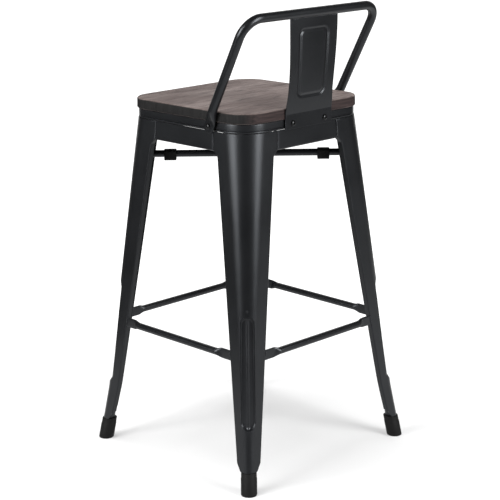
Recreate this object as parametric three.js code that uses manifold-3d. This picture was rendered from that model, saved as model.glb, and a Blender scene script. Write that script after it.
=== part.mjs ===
// Counter-height bar stool with a low back: four pressed-steel legs, welded aprons, footrest rungs and a
// cross brace under a steel seat pan, a timber seat board, and a bolted-on tube hoop with a pressed splat.
// Millimetres, +Z up. The sitter faces -Y, so +X is the sitter's left and +Y is behind the sitter.
// The origin lies on the floor under the middle of the seat.
import * as THREE from "three";
import { mergeVertices } from "three/addons/utils/BufferGeometryUtils.js";
import Module from "manifold-3d";

const wasm = await Module();
wasm.setup();

// ---- Driving dimensions ---------------------------------------------------------------------------------

const GAP = 0.3; // left between pieces that touch
const SHEET = 1.5; // thickness of the pressed steel
const ROUND = 12; // sides of a tube

const SEAT_HEIGHT = 660;
const BOARD = { half: 154, corner: 48, thick: 18.2, edge: 2 };
const BOARD_BOTTOM = SEAT_HEIGHT - BOARD.thick;
const PAN = { half: 152.5, corner: 50, deep: 17, top: BOARD_BOTTOM - GAP };
const PAN_BOTTOM = PAN.top - PAN.deep;

// A leg is a channel bent round the stool's corner. Its reach is measured on the diagonal, from the stool's
// middle to the outside of the rounded corner, and its width from that corner's square to a flank's edge.
const LEG = {
  top: PAN_BOTTOM - GAP,
  bottom: 41,
  reachAtTop: 196.1,
  splay: 0.1385,
  flareFrom: 104,
  flare: 0.06,
  widthAtBottom: 29.3,
  widening: 0.075,
  headWidth: 79,
  shoulder: [580, 594],
  cornerShareAtBottom: 0.45,
  cornerShareAtTop: 0.66,
  fold: 2,
  lip: 9.5,
  chamfer: 12,
};
const RIB = { low: 114, high: 313, half: 12.5, deep: 5.4, ridge: 1.2, ridgeHalf: 3 };

const APRON = { bottom: 590, inset: 0.9, bend: 3, flange: 10 };
const RUNG = {
  radius: 6.35,
  height: 240,
  offset: 182,
  blade: 20,
  taper: 14,
  bladeTall: 9.3,
  bladeThin: 1.75,
  bladeIn: 1.5,
};
const BRACE = { radius: 6.5, height: 553.8, flat: 22, taper: 16, flatTall: 2.6, flatWide: 9.4 };
const BUMPER = { at: 140, length: 22, half: 9.5, up: 8, down: 12, corner: 3 };

const FOOT = { radius: 14.3, reach: 277.2, lean: 0.2, wall: 4.4, floor: 9.6, edge: 1.5 };
const STUB = { radius: 9.6, top: 68 };

const BOLT = { height: 632.8, radius: 3, hole: 3.3, headRadius: 5.5, headTall: 3.2, spare: 1.5 };
const NUT = { radius: 5.7, tall: 5 };
const WASHER = { radius: 6.5, thick: 1.3 };
const OUTSIDE_PAN = PAN.half + GAP + WASHER.thick + GAP; // inner face of what is bolted to the pan's rim

const HOOP = {
  radius: 8,
  footY: 68.5,
  topX: 164.2,
  topY: 170.3,
  topZ: 822.5,
  bend: 35,
  bladeThin: 2.25,
  bladeWide: 12,
  bladeEnd: 6.5,
  tubeFrom: 36,
};
const SPLAT = { sheet: 2, halfTop: 59, halfWaist: 55.5, waist: 690, halfFoot: 58.5, low: 623, fold: 649 };
const SPLAT_TOP = HOOP.topZ - HOOP.radius - GAP;
const SPLAT_BOLT_X = 40;
const PANEL = { low: 675, high: 797.8, halfLow: 36.3, halfHigh: 38.8, groove: 4.5, deep: 1.6 };

const SCREW = { at: 85, radius: 2, hole: 2.4, headRadius: 4.5, headTall: 2.4, reach: 11 };

// ---- Helpers --------------------------------------------------------------------------------------------

const mix = (a, b, share) => a + (b - a) * share;
const smooth = (low, high, value) => THREE.MathUtils.smoothstep(value, low, high);
const signedPower = (value, power) => Math.sign(value) * Math.abs(value) ** power;

// The same geometry with only its shared vertices.
function welded(geometry) {
  const bare = geometry.index ? geometry.toNonIndexed() : geometry.clone();
  bare.deleteAttribute("normal");
  bare.deleteAttribute("uv");
  return mergeVertices(bare, 1e-3);
}

function solidOf(geometry) {
  const whole = welded(geometry);
  const vertProperties = whole.attributes.position.array;
  const triVerts = new Uint32Array(whole.index.array);
  return new wasm.Manifold(new wasm.Mesh({ numProp: 3, vertProperties, triVerts }));
}

function geometryOf(solid) {
  const mesh = solid.getMesh();
  const geometry = new THREE.BufferGeometry();
  geometry.setAttribute("position", new THREE.BufferAttribute(mesh.vertProperties, 3));
  geometry.setIndex(new THREE.BufferAttribute(mesh.triVerts, 1));
  return geometry;
}

function cut(geometry, tools) {
  return geometryOf(tools.reduce((left, tool) => left.subtract(solidOf(tool)), solidOf(geometry)));
}

// Moves each vertex to where place() puts it. Where that mirrors the shape, flip turns its faces out again.
function reshape(geometry, place, flip = false) {
  const shaped = welded(geometry);
  const position = shaped.attributes.position;
  const point = new THREE.Vector3();
  for (let i = 0; i < position.count; i++) {
    point.fromBufferAttribute(position, i);
    position.setXYZ(i, ...place(point));
  }
  const corners = shaped.index.array;
  for (let i = 0; flip && i < corners.length; i += 3) {
    [corners[i], corners[i + 1]] = [corners[i + 1], corners[i]];
  }
  return shaped;
}

// A flat blank of sheet, bent: place(column, row, inner) gives a point of its outer or inner face.
function bentSheet(columns, rows, place, flip) {
  const blank = new THREE.BoxGeometry(columns, rows, 1, columns, rows, 1);
  const bend = (p) => place(Math.round(p.x + columns / 2), Math.round(p.y + rows / 2), p.z < 0);
  return reshape(blank, bend, flip);
}

// A tube whose rings place(ring, cosine, sine) puts, with the cosine and the sine of the way round each ring.
function ringTube(rings, place, flip) {
  const bar = new THREE.CylinderGeometry(1, 1, rings - 1, ROUND, rings - 1);
  return reshape(bar, (p) => place(Math.round(p.y + (rings - 1) / 2), p.x, p.z), flip);
}

// A round section pressed flatter: squarer as well as thinner, the way a tube's end is flattened.
function pressed(cosine, sine, flatness, thin, tall) {
  const power = mix(1, 0.55, flatness);
  return [thin * signedPower(cosine, power), tall * signedPower(sine, power)];
}

function roundedSquare(half, corner) {
  const shape = new THREE.Shape();
  const straight = half - corner;
  shape.absarc(straight, straight, corner, 0, Math.PI / 2);
  shape.absarc(-straight, straight, corner, Math.PI / 2, Math.PI);
  shape.absarc(-straight, -straight, corner, Math.PI, Math.PI * 1.5);
  shape.absarc(straight, -straight, corner, Math.PI * 1.5, Math.PI * 2);
  return shape;
}

function slab(shape, low, high, curveSegments = 8) {
  const options = { depth: high - low, bevelEnabled: false, curveSegments };
  return new THREE.ExtrudeGeometry(shape, options).translate(0, 0, low);
}

// A round bar along +Z, from low to high.
function pin(radius, low, high, sides = ROUND) {
  const bar = new THREE.CylinderGeometry(radius, radius, high - low, sides);
  return bar.rotateX(Math.PI / 2).translate(0, 0, (low + high) / 2);
}

function turned(points, sides = 16) {
  const profile = points.map(([radius, height]) => new THREE.Vector2(radius, height));
  return new THREE.LatheGeometry(profile, sides).rotateX(Math.PI / 2);
}

const steel = () => new THREE.MeshStandardMaterial({ color: 0x24272b, roughness: 0.42, metalness: 0.35 });
const timber = () => new THREE.MeshStandardMaterial({ color: 0x6b5a52, roughness: 0.65, metalness: 0 });
const rubber = () => new THREE.MeshStandardMaterial({ color: 0x18191a, roughness: 0.75, metalness: 0 });
const fastener = () => new THREE.MeshStandardMaterial({ color: 0x1b1d20, roughness: 0.3, metalness: 0.8 });

const stool = new THREE.Group();

function add(name, geometry, material, turn = 0) {
  const mesh = new THREE.Mesh(geometry, material);
  mesh.name = name;
  mesh.rotation.z = turn;
  stool.add(mesh);
  return mesh;
}

// Quarter turns from the rear left corner, and from the side behind the sitter.
const QUARTER = Math.PI / 2;
const CORNERS = { rear_left: 0, rear_right: QUARTER, front_right: 2 * QUARTER, front_left: 3 * QUARTER };
const SIDES = { back: 0, right: QUARTER, front: 2 * QUARTER, left: 3 * QUARTER };

// ---- Leg ------------------------------------------------------------------------------------------------

const legReach = (z) => {
  return LEG.reachAtTop + LEG.splay * (LEG.top - z) + LEG.flare * Math.max(0, LEG.flareFrom - z);
};
const legTaper = (z) => LEG.widthAtBottom + LEG.widening * (z - LEG.bottom);
const legWidth = (z) => mix(legTaper(z), LEG.headWidth, smooth(...LEG.shoulder, z));
const legCorner = (z) => {
  const share = (z - LEG.bottom) / (LEG.top - LEG.bottom);
  return mix(LEG.cornerShareAtBottom, LEG.cornerShareAtTop, share) * legTaper(z);
};
const legFace = (z) => (legReach(z) - legCorner(z)) / Math.SQRT2 + legCorner(z);
const legEdge = (z) => legFace(z) - legWidth(z);

// The rib pressed into the corner: a long slot with round ends, and a ridge along its middle.
function ribDepth(aside, z) {
  const beyond = Math.max(RIB.low + RIB.half - z, z - (RIB.high - RIB.half), 0);
  const outward = Math.min(1, Math.hypot(aside, beyond) / RIB.half);
  const ridge = RIB.ridge * Math.max(0, 1 - Math.abs(aside) / RIB.ridgeHalf);
  return Math.max(0, RIB.deep * (1 - outward ** 4) - ridge);
}

const FOLD_STEPS = 2;
const CORNER_STEPS = 8;
const RIB_MARGIN = 3; // of flank beside the corner, where the rib's side may still reach
const CORNER_FROM = FOLD_STEPS + 3; // after the lip's end, the fold and that point of the flank
const LEG_MIDDLE = CORNER_FROM + CORNER_STEPS / 2;

// Presses a point of the section in along the corner's middle line, as deep as the rib is there.
function pressIn(x, y, z) {
  const depth = ribDepth((x - y) / Math.SQRT2, z) / Math.SQRT2;
  return [x - depth, y - depth];
}

// A point of the leg's section, counted from the end of one lip to the end of the other.
function legPoint(step, z, inset) {
  if (step > LEG_MIDDLE) {
    const [x, y] = legPoint(2 * LEG_MIDDLE - step, z, inset);
    return [y, x];
  }
  const face = legFace(z);
  const edge = legEdge(z);
  if (step === 0) {
    return [face - LEG.lip, edge + inset];
  }
  if (step <= FOLD_STEPS + 1) {
    const turn = ((step - 1) / FOLD_STEPS) * QUARTER;
    const radius = LEG.fold - inset;
    return [face - LEG.fold + radius * Math.sin(turn), edge + LEG.fold - radius * Math.cos(turn)];
  }
  const corner = legCorner(z);
  if (step < CORNER_FROM) {
    return pressIn(face - inset, face - corner - RIB_MARGIN, z);
  }
  const turn = ((step - CORNER_FROM) / CORNER_STEPS) * QUARTER;
  const radius = corner - inset;
  return pressIn(face - corner + radius * Math.cos(turn), face - corner + radius * Math.sin(turn), z);
}

function leg() {
  const { bottom, flareFrom, shoulder, top, chamfer } = LEG;
  const ribEnds = [RIB.low, RIB.low + RIB.half / 3, RIB.low + RIB.half];
  const ribTops = [RIB.high - RIB.half, RIB.high - RIB.half / 3, RIB.high];
  const ribMiddle = (RIB.low + RIB.high) / 2;
  const shoulderMiddle = (shoulder[0] + shoulder[1]) / 2;
  const rows = [bottom, 2 * chamfer + bottom, flareFrom, ...ribEnds, ribMiddle, ...ribTops];
  rows.push(shoulder[0], shoulderMiddle, shoulder[1], top);
  const place = (step, row, inner) => {
    const onFlank = Math.abs(step - LEG_MIDDLE) > CORNER_STEPS / 2;
    const z = Math.max(rows[row], onFlank ? bottom + chamfer : bottom);
    return [...legPoint(step, z, inner ? SHEET : 0), z];
  };
  return bentSheet(2 * LEG_MIDDLE, rows.length - 1, place);
}

for (const [corner, turn] of Object.entries(CORNERS)) {
  add("leg_" + corner, leg(), steel(), turn);
}

// ---- Feet: a steel stub welded into each leg's end, and a rubber cap pressed over it ---------------------

const footShift = (z) => (FOOT.reach - FOOT.lean * z) / Math.SQRT2;
const leaning = (geometry) => reshape(geometry, ({ x, y, z }) => [x + footShift(z), y + footShift(z), z]);

function footCap() {
  const { radius, wall, floor, edge } = FOOT;
  const bore = radius - wall;
  const top = LEG.bottom - GAP;
  const sole = [0, 0.5, 1].map((share) => {
    const turn = share * QUARTER;
    return [radius - edge + edge * Math.sin(turn), edge - edge * Math.cos(turn)];
  });
  const lip = [[radius, top - edge / 2], [radius - edge / 2, top], [bore, top]];
  return leaning(turned([[0, 0], ...sole, ...lip, [bore, floor], [0, floor]]));
}

const footStub = () => leaning(pin(STUB.radius, FOOT.floor + GAP, STUB.top, 16));

for (const [corner, turn] of Object.entries(CORNERS)) {
  add("foot_cap_" + corner, footCap(), rubber(), turn);
  add("foot_stub_" + corner, footStub(), steel(), turn);
}

// ---- Aprons: a web between two leg heads with its lower edge folded inwards ------------------------------

const APRON_BEND_STEPS = 2;

function apron() {
  const { bottom, inset, bend, flange } = APRON;
  const rows = APRON_BEND_STEPS + 2;
  const foldFace = legFace(bottom + bend) - inset;
  const place = (side, row, inner) => {
    const thin = inner ? SHEET : 0;
    let y = legFace(LEG.top) - inset - thin;
    let z = LEG.top;
    if (row === 0) {
      y = foldFace - bend - flange;
      z = bottom + thin;
    } else if (row < rows) {
      const turn = ((row - 1) / APRON_BEND_STEPS) * QUARTER;
      y = foldFace - bend + (bend - thin) * Math.sin(turn);
      z = bottom + bend - (bend - thin) * Math.cos(turn);
    }
    const end = legEdge(Math.max(z, bottom + bend)) - GAP;
    return [side ? end : -end, y, z];
  };
  return bentSheet(1, rows, place, true);
}

// ---- Footrest rungs: tubes with their ends pressed into upright blades, welded to the legs' lips ----------

function rung() {
  const { radius, height, offset, blade, taper, bladeTall, bladeThin, bladeIn } = RUNG;
  const fromEnd = [0, blade, blade + taper / 3, blade + (2 * taper) / 3, blade + taper];
  const rings = 2 * fromEnd.length;
  const place = (ring, cosine, sine) => {
    const side = ring < fromEnd.length ? -1 : 1;
    const inboard = fromEnd[side < 0 ? ring : rings - 1 - ring];
    const flatness = 1 - smooth(blade, blade + taper, inboard);
    const thin = mix(radius, bladeThin, flatness);
    const tall = mix(radius, bladeTall, flatness);
    const [out, up] = pressed(cosine, sine, flatness, thin, tall);
    const z = height + up;
    return [side * (legEdge(z) - GAP - inboard), offset - bladeIn * flatness + out, z];
  };
  return ringTube(rings, place, true);
}

for (const [side, turn] of Object.entries(SIDES)) {
  add("apron_" + side, apron(), steel(), turn);
  add("rung_" + side, rung(), steel(), turn);
}

// ---- Cross brace: two tubes from leg to leg, pressed flat where they cross, one over the other ------------

function brace(level) {
  const { radius, height, flat, taper, flatTall, flatWide } = BRACE;
  const fromMiddle = [flat + taper, flat + (2 * taper) / 3, flat + taper / 3, flat];
  const rings = 2 + 2 * fromMiddle.length;
  const wall = legCorner(height) - SHEET;
  const place = (ring, cosine, sine) => {
    const side = ring < rings / 2 ? -1 : 1;
    const fromEnd = side < 0 ? ring : rings - 1 - ring;
    const inboard = fromEnd === 0 ? flat + taper : fromMiddle[fromEnd - 1];
    const flatness = 1 - smooth(flat, flat + taper, inboard);
    const tall = mix(radius, flatTall, flatness);
    const wide = mix(radius, flatWide, flatness);
    const [up, aside] = pressed(cosine, sine, flatness, tall, wide);
    const z = height + up + level * (flatTall + GAP / 2) * flatness;
    const bulge = wall - Math.sqrt(wall * wall - aside * aside);
    const end = legReach(z) - SHEET - 2 * GAP - bulge;
    return [side * (fromEnd === 0 ? end : inboard), aside, z];
  };
  return ringTube(rings, place);
}

// A rubber block on the brace, with a bore for the tube.
function bumper() {
  const { at, length, half, up, down, corner } = BUMPER;
  const block = new THREE.Shape();
  block.moveTo(half, up - corner).lineTo(half - corner, up);
  block.lineTo(corner - half, up).lineTo(-half, up - corner);
  block.lineTo(-half, corner - down).lineTo(corner - half, -down);
  block.lineTo(half - corner, -down).lineTo(half, corner - down);
  const bore = new THREE.Path();
  bore.absarc(0, 0, BRACE.radius + 2 * GAP, 0, 2 * Math.PI, true);
  block.holes.push(bore);
  const along = slab(block, at - length / 2, at + length / 2, 6);
  return reshape(along, ({ x, y, z }) => [z, x, BRACE.height + y]);
}

const EIGHTH = QUARTER / 2;
add("brace_upper", brace(1), steel(), -EIGHTH);
add("brace_lower", brace(-1), steel(), EIGHTH);
for (const [corner, turn] of Object.entries(CORNERS)) {
  add("brace_bumper_" + corner, bumper(), rubber(), turn + EIGHTH);
}

// ---- Seat: a steel pan with a deep rim, and the board screwed down on it ---------------------------------

const screwPlaces = [-1, 1].flatMap((x) => [-1, 1].map((y) => [x * SCREW.at, y * SCREW.at]));
const drills = (radius, low, high) => screwPlaces.map(([x, y]) => pin(radius, low, high).translate(x, y, 0));
const alongX = (geometry, y, z) => geometry.rotateY(QUARTER).translate(0, y, z);
const alongY = (geometry, x, z) => geometry.rotateX(-QUARTER).translate(x, 0, z);

function seatPan() {
  const { half, corner, top } = PAN;
  const blank = slab(roundedSquare(half, corner), PAN_BOTTOM, top);
  const inside = slab(roundedSquare(half - SHEET, corner - SHEET), PAN_BOTTOM - 1, top - SHEET);
  const hoopHoles = alongX(pin(BOLT.hole, -half - 1, half + 1), HOOP.footY, BOLT.height);
  const splatHoles = [-1, 1].map((side) => {
    return alongY(pin(BOLT.hole, half - 2 * SHEET, half + 1), side * SPLAT_BOLT_X, BOLT.height);
  });
  return cut(blank, [inside, hoopHoles, ...splatHoles, ...drills(SCREW.hole, top - 2 * SHEET, top + 1)]);
}

function seatBoard() {
  const { half, corner, thick, edge } = BOARD;
  const options = { depth: thick - 2 * edge, bevelThickness: edge, bevelSize: edge, bevelOffset: -edge };
  const shape = roundedSquare(half, corner);
  const block = new THREE.ExtrudeGeometry(shape, { ...options, bevelSegments: 2, curveSegments: 8 });
  block.translate(0, 0, BOARD_BOTTOM + edge);
  return cut(block, drills(SCREW.hole, BOARD_BOTTOM - 1, BOARD_BOTTOM + SCREW.reach + GAP));
}

function seatScrew() {
  const { radius, headRadius, headTall, reach } = SCREW;
  const tip = PAN.top + reach;
  const seat = PAN.top - SHEET - GAP;
  const head = [[0, seat - headTall], [headRadius * 0.7, seat - headTall], [headRadius, seat - headTall / 2]];
  return turned([...head, [headRadius, seat], [radius, seat], [radius, tip - radius], [0, tip]], ROUND);
}

add("seat_pan", seatPan(), steel());
add("seat_board", seatBoard(), timber());
screwPlaces.forEach(([x, y]) => {
  const name = "seat_screw_" + (y > 0 ? "rear" : "front") + (x > 0 ? "_left" : "_right");
  add(name, seatScrew(), fastener()).position.set(x, y, 0);
});

// ---- Backrest hoop: one bent tube, leaning back, with its ends pressed flat and bolted to the pan ---------

const SWELL_STEPS = 5; // from blade to round tube
const BEND_STEPS = 6;
const hoopLean = Math.atan2(HOOP.topY - HOOP.footY, HOOP.topZ - BOLT.height);
const hoopRise = Math.hypot(HOOP.topY - HOOP.footY, HOOP.topZ - BOLT.height);

// Half of the hoop's centre line as rings: how far out and how far up the slope, the tube's heading there,
// and how flat and how wide it is.
function hoopRings() {
  const { radius, topX, bend, bladeThin, bladeWide, bladeEnd, tubeFrom } = HOOP;
  const rings = [];
  for (const share of [-1, -0.85, -0.5, 0, bladeEnd / bladeWide]) {
    const wide = share < 0 ? bladeWide * Math.sqrt(1.1 - share * share) : bladeWide;
    const up = share * bladeWide;
    rings.push({ out: OUTSIDE_PAN + bladeThin, up, heading: QUARTER, flat: 1, thin: bladeThin, wide });
  }
  for (let step = 1; step <= SWELL_STEPS; step++) {
    const flat = 1 - smooth(0, SWELL_STEPS, step);
    const thin = mix(radius, bladeThin, flat);
    const up = mix(bladeEnd, tubeFrom, step / SWELL_STEPS);
    const wide = mix(radius, bladeWide, flat);
    rings.push({ out: OUTSIDE_PAN + thin, up, heading: QUARTER, flat, thin, wide });
  }
  for (let step = 0; step <= BEND_STEPS; step++) {
    const turn = (step / BEND_STEPS) * QUARTER;
    const out = topX - bend + bend * Math.cos(turn);
    const up = hoopRise - bend + bend * Math.sin(turn);
    rings.push({ out, up, heading: QUARTER + turn, flat: 0, thin: radius, wide: radius });
  }
  return rings;
}

function hoop() {
  const half = hoopRings();
  const rings = 2 * half.length;
  const lean = new THREE.Matrix4().makeTranslation(0, HOOP.footY, BOLT.height);
  lean.multiply(new THREE.Matrix4().makeRotationX(-hoopLean));
  const place = (ring, cosine, sine) => {
    const side = ring < half.length ? 1 : -1;
    const { out, up, heading, flat, thin, wide } = half[side > 0 ? ring : rings - 1 - ring];
    const [across, aside] = pressed(cosine, sine, flat, thin, wide);
    const x = out + across * Math.sin(heading);
    const z = up - across * Math.cos(heading);
    return [side * x, aside, z];
  };
  const upright = ringTube(rings, place, true).applyMatrix4(lean);
  const reach = OUTSIDE_PAN + 2 * HOOP.bladeThin + 1;
  return cut(upright, [alongX(pin(BOLT.hole, -reach, reach), HOOP.footY, BOLT.height)]);
}

add("backrest_hoop", hoop(), steel());

// ---- Splat: a pressed plate from the pan's rim up to the hoop, with a panel outlined by a groove ----------

function splatHalf(z) {
  const { halfTop, halfWaist, waist, halfFoot, fold } = SPLAT;
  if (z > waist) {
    return mix(halfWaist, halfTop, smooth(waist, SPLAT_TOP, z));
  }
  return mix(halfFoot, halfWaist, smooth(fold, waist, z));
}

// The back face stands upright at the foot, then leans back to come upright again under the hoop.
function splatBack(z) {
  const foot = OUTSIDE_PAN + SPLAT.sheet;
  const share = Math.max(0, (z - SPLAT.fold) / (SPLAT_TOP - SPLAT.fold));
  return mix(HOOP.topY, foot, (1 - share) ** 2);
}

const panelHalf = (z) => mix(PANEL.halfLow, PANEL.halfHigh, (z - PANEL.low) / (PANEL.high - PANEL.low));

// The groove's depth at a point, by how far that is inside the panel's outline.
function grooveDepth(x, z) {
  const inside = Math.min(panelHalf(z) - Math.abs(x), z - PANEL.low, PANEL.high - z);
  return PANEL.deep * Math.max(0, 1 - Math.abs(inside / PANEL.groove - 1));
}

function splat() {
  const { sheet, fold } = SPLAT;
  const { low, high, groove } = PANEL;
  const flatRows = [0, 0.25, 0.5, 0.75, 1].map((share) => mix(low + 2 * groove, high - 2 * groove, share));
  const panelRows = [low, low + groove, ...flatRows, high - groove, high];
  const rows = [SPLAT.low, fold, (fold + low) / 2, ...panelRows, SPLAT_TOP];
  const linesAcross = (z) => {
    const panel = panelHalf(z);
    const half = [panel / 3, panel - 2 * groove, panel - groove, panel, splatHalf(z)];
    return [...half.map((x) => -x).reverse(), ...half];
  };
  const place = (column, row, inner) => {
    const z = rows[row];
    const x = linesAcross(z)[column];
    return [x, splatBack(z) - grooveDepth(x, z) - (inner ? sheet : 0), z];
  };
  const plate = bentSheet(linesAcross(fold).length - 1, rows.length - 1, place, true);
  const holes = [-1, 1].map((side) => {
    return alongY(pin(BOLT.hole, OUTSIDE_PAN - 1, OUTSIDE_PAN + 2 * sheet), side * SPLAT_BOLT_X, BOLT.height);
  });
  return cut(plate, holes);
}

add("backrest_splat", splat(), steel());

// ---- Bolts, washers and nuts that hold the hoop and the splat to the pan's rim ---------------------------

// A button-head bolt along +Z, its head seated at the given distance from the stool's middle.
function bolt(seat) {
  const { radius, headRadius, headTall, spare } = BOLT;
  const tip = PAN.half - SHEET - GAP - NUT.tall - spare;
  const dome = [0, 0.4, 0.8].map((share) => {
    return [headRadius * Math.cos(share * QUARTER), seat + headTall * Math.sin(share * QUARTER)];
  });
  const end = [[0, tip], [radius * 0.8, tip], [radius, tip + spare / 2]];
  return turned([...end, [radius, seat], ...dome, [0, seat + headTall]], ROUND);
}

function ringPlate(outline, bore, low, high) {
  const hole = new THREE.Path();
  hole.absarc(0, 0, bore, 0, 2 * Math.PI, true);
  outline.holes.push(hole);
  return slab(outline, low, high, 6);
}

function washer() {
  const disc = new THREE.Shape();
  disc.absarc(0, 0, WASHER.radius, 0, 2 * Math.PI);
  return ringPlate(disc, BOLT.hole, PAN.half + GAP, PAN.half + GAP + WASHER.thick);
}

function nut() {
  const corners = Array.from({ length: 6 }, (_, i) => {
    const turn = (i / 3) * Math.PI;
    return new THREE.Vector2(NUT.radius * Math.cos(turn), NUT.radius * Math.sin(turn));
  });
  const high = PAN.half - SHEET - GAP;
  return ringPlate(new THREE.Shape(corners), BOLT.hole, high - NUT.tall, high);
}

// A bolt, washer and nut are made along +Z, and turned to lie along +X at the bolts' height. turn then faces
// them to their side of the stool, where aside is their distance to the left of that side's middle.
function fastening(name, seat, turn, aside) {
  const lay = (geometry) => alongX(geometry, aside, BOLT.height);
  add(name + "_bolt", lay(bolt(seat)), fastener(), turn);
  add(name + "_washer", lay(washer()), rubber(), turn);
  add(name + "_nut", lay(nut()), fastener(), turn);
}

const hoopSeat = OUTSIDE_PAN + 2 * HOOP.bladeThin + GAP;
const splatSeat = OUTSIDE_PAN + SPLAT.sheet + GAP;
fastening("hoop_left", hoopSeat, 0, HOOP.footY);
fastening("hoop_right", hoopSeat, 2 * QUARTER, -HOOP.footY);
fastening("splat_left", splatSeat, QUARTER, -SPLAT_BOLT_X);
fastening("splat_right", splatSeat, QUARTER, SPLAT_BOLT_X);

export default stool;
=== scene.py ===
"""Looks of a counter-height bar stool with a low back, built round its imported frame. Metres, +Z up.

The sitter faces -Y, +X is the sitter's left, and the origin lies on the floor under the seat's middle.
Each CAD node that shows is replaced by a finer surface in the same place. Nothing moves on the real stool.
"""

import math
from functools import lru_cache
from types import SimpleNamespace

import bmesh
import bpy
from mathutils import Matrix, Vector, noise


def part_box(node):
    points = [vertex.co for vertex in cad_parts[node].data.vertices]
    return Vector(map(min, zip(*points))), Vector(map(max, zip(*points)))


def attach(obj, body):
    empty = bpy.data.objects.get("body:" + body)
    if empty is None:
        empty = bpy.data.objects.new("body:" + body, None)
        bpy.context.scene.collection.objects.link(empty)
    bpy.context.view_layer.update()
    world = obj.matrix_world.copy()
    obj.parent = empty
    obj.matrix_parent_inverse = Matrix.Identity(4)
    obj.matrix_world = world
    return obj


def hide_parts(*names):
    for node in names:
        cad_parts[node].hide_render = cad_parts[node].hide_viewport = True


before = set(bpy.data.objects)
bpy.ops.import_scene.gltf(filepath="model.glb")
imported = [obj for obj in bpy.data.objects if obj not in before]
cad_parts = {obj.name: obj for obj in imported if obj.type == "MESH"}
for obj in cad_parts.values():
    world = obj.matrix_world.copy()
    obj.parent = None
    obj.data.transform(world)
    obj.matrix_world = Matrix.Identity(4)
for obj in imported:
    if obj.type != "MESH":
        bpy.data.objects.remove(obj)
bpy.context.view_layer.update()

# ---- Driving dimensions ---------------------------------------------------------------------------------

QUARTER = math.pi / 2
GAP = 0.0003
SHEET = 0.0015
ROUND = 40
CREASE_FROM = math.radians(40)
BEVEL_FROM = math.radians(65)

BOARD_LOW, BOARD_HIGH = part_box("seat_board")
BOARD = SimpleNamespace(half=BOARD_HIGH.x, corner=0.048, low=BOARD_LOW.z, high=BOARD_HIGH.z)
PAN_LOW, PAN_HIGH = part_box("seat_pan")
PAN = SimpleNamespace(half=PAN_HIGH.x, corner=0.050, low=PAN_LOW.z, high=PAN_HIGH.z)

LEG_LOW, LEG_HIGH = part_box("leg_rear_left")
LEG = SimpleNamespace(
    top=LEG_HIGH.z,
    bottom=LEG_LOW.z,
    reach_at_top=0.1961,
    splay=0.1385,
    flare_from=0.104,
    flare=0.06,
    flare_blend=0.006,
    width_at_bottom=0.0293,
    widening=0.075,
    head_width=0.079,
    shoulder=(0.580, 0.594),
    corner_share_at_bottom=0.45,
    corner_share_at_top=0.66,
    fold=0.002,
    lip=0.0095,
    chamfer=0.016,
    chamfer_wide=0.008,
)
RIB = SimpleNamespace(
    low=0.114, high=0.313, half=0.0125, deep=0.0054, steep=7, ridge=0.0014, ridge_half=0.0021
)
DIMPLE = SimpleNamespace(height=0.3225, radius=0.0024, deep=0.0011)

APRON = SimpleNamespace(bottom=0.590, inset=0.0009, bend=0.003, flange=0.010)
RUNG = SimpleNamespace(
    radius=0.00635,
    height=0.240,
    offset=0.182,
    blade=0.020,
    taper=0.014,
    blade_tall=0.0093,
    blade_thin=0.00175,
    blade_in=0.0015,
)
BRACE = SimpleNamespace(
    radius=0.0065, height=0.5538, flat=0.022, taper=0.016, flat_tall=0.0026, flat_wide=0.0094
)
BUMPER = SimpleNamespace(at=0.140, length=0.022, half=0.0095, up=0.008, down=0.012, corner=0.003)

FOOT = SimpleNamespace(
    radius=0.0143,
    reach=0.2772,
    lean=0.2,
    wall=0.0044,
    floor=0.0096,
    edge=0.0018,
    hollow=0.0008,
    step=0.0005,
)
STUB = SimpleNamespace(radius=0.0096, top=0.068, wall=0.0015)

BOLT = SimpleNamespace(height=0.6328, radius=0.003, head_radius=0.0055, head_tall=0.0032, spare=0.0015)
NUT = SimpleNamespace(radius=0.0057, tall=0.005)
WASHER = SimpleNamespace(radius=0.0065, thick=0.0013)
OUTSIDE_PAN = PAN.half + GAP + WASHER.thick + GAP

HOOP = SimpleNamespace(
    radius=0.008,
    foot_y=0.0685,
    top_x=0.1642,
    top_y=0.1703,
    top_z=0.82249,
    bend=0.035,
    blade_thin=0.00225,
    blade_wide=0.012,
    blade_end=0.0065,
    tube_from=0.036,
)
SPLAT = SimpleNamespace(
    sheet=0.002,
    half_top=0.059,
    half_waist=0.0555,
    waist=0.690,
    half_foot=0.0585,
    low=0.623,
    fold=0.649,
    top=HOOP.top_z - HOOP.radius - GAP,
    bolt_x=0.040,
)
PANEL = SimpleNamespace(
    low=0.675, high=0.7978, half_low=0.0363, half_high=0.0388, groove=0.0045, deep=0.0016, corner=0.0145
)
SCREW = SimpleNamespace(at=0.085, radius=0.002, head_radius=0.0045, head_tall=0.0024, reach=0.011)

APRON_WELD = SimpleNamespace(low=0.5945, high=0.6085, radius=0.0016, lumps=5)
RUNG_WELD = SimpleNamespace(half=0.0075, radius=0.0012, lumps=5)
SPLAT_WELD = SimpleNamespace(outer=0.055, inner=0.040, radius=0.0017, lumps=5)

CORNERS = {"rear_left": 0, "rear_right": QUARTER, "front_right": 2 * QUARTER, "front_left": 3 * QUARTER}
SIDES = {"back": 0, "right": QUARTER, "front": 2 * QUARTER, "left": 3 * QUARTER}

# ---- Helpers --------------------------------------------------------------------------------------------


def mix(a, b, share):
    return a + (b - a) * share


def smooth(low, high, value):
    share = min(1.0, max(0.0, (value - low) / (high - low)))
    return share * share * (3 - 2 * share)


def signed_power(value, power):
    return math.copysign(abs(value) ** power, value)


def spread(low, high, steps):
    """Evenly spaced values from low to high."""
    return [mix(low, high, step / steps) for step in range(steps + 1)]


def stretches(start, *parts):
    """Values from start on, where each part is its end and how many steps lead there."""
    values = [start]
    for end, steps in parts:
        values += spread(values[-1], end, steps)[1:]
    return values


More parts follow.
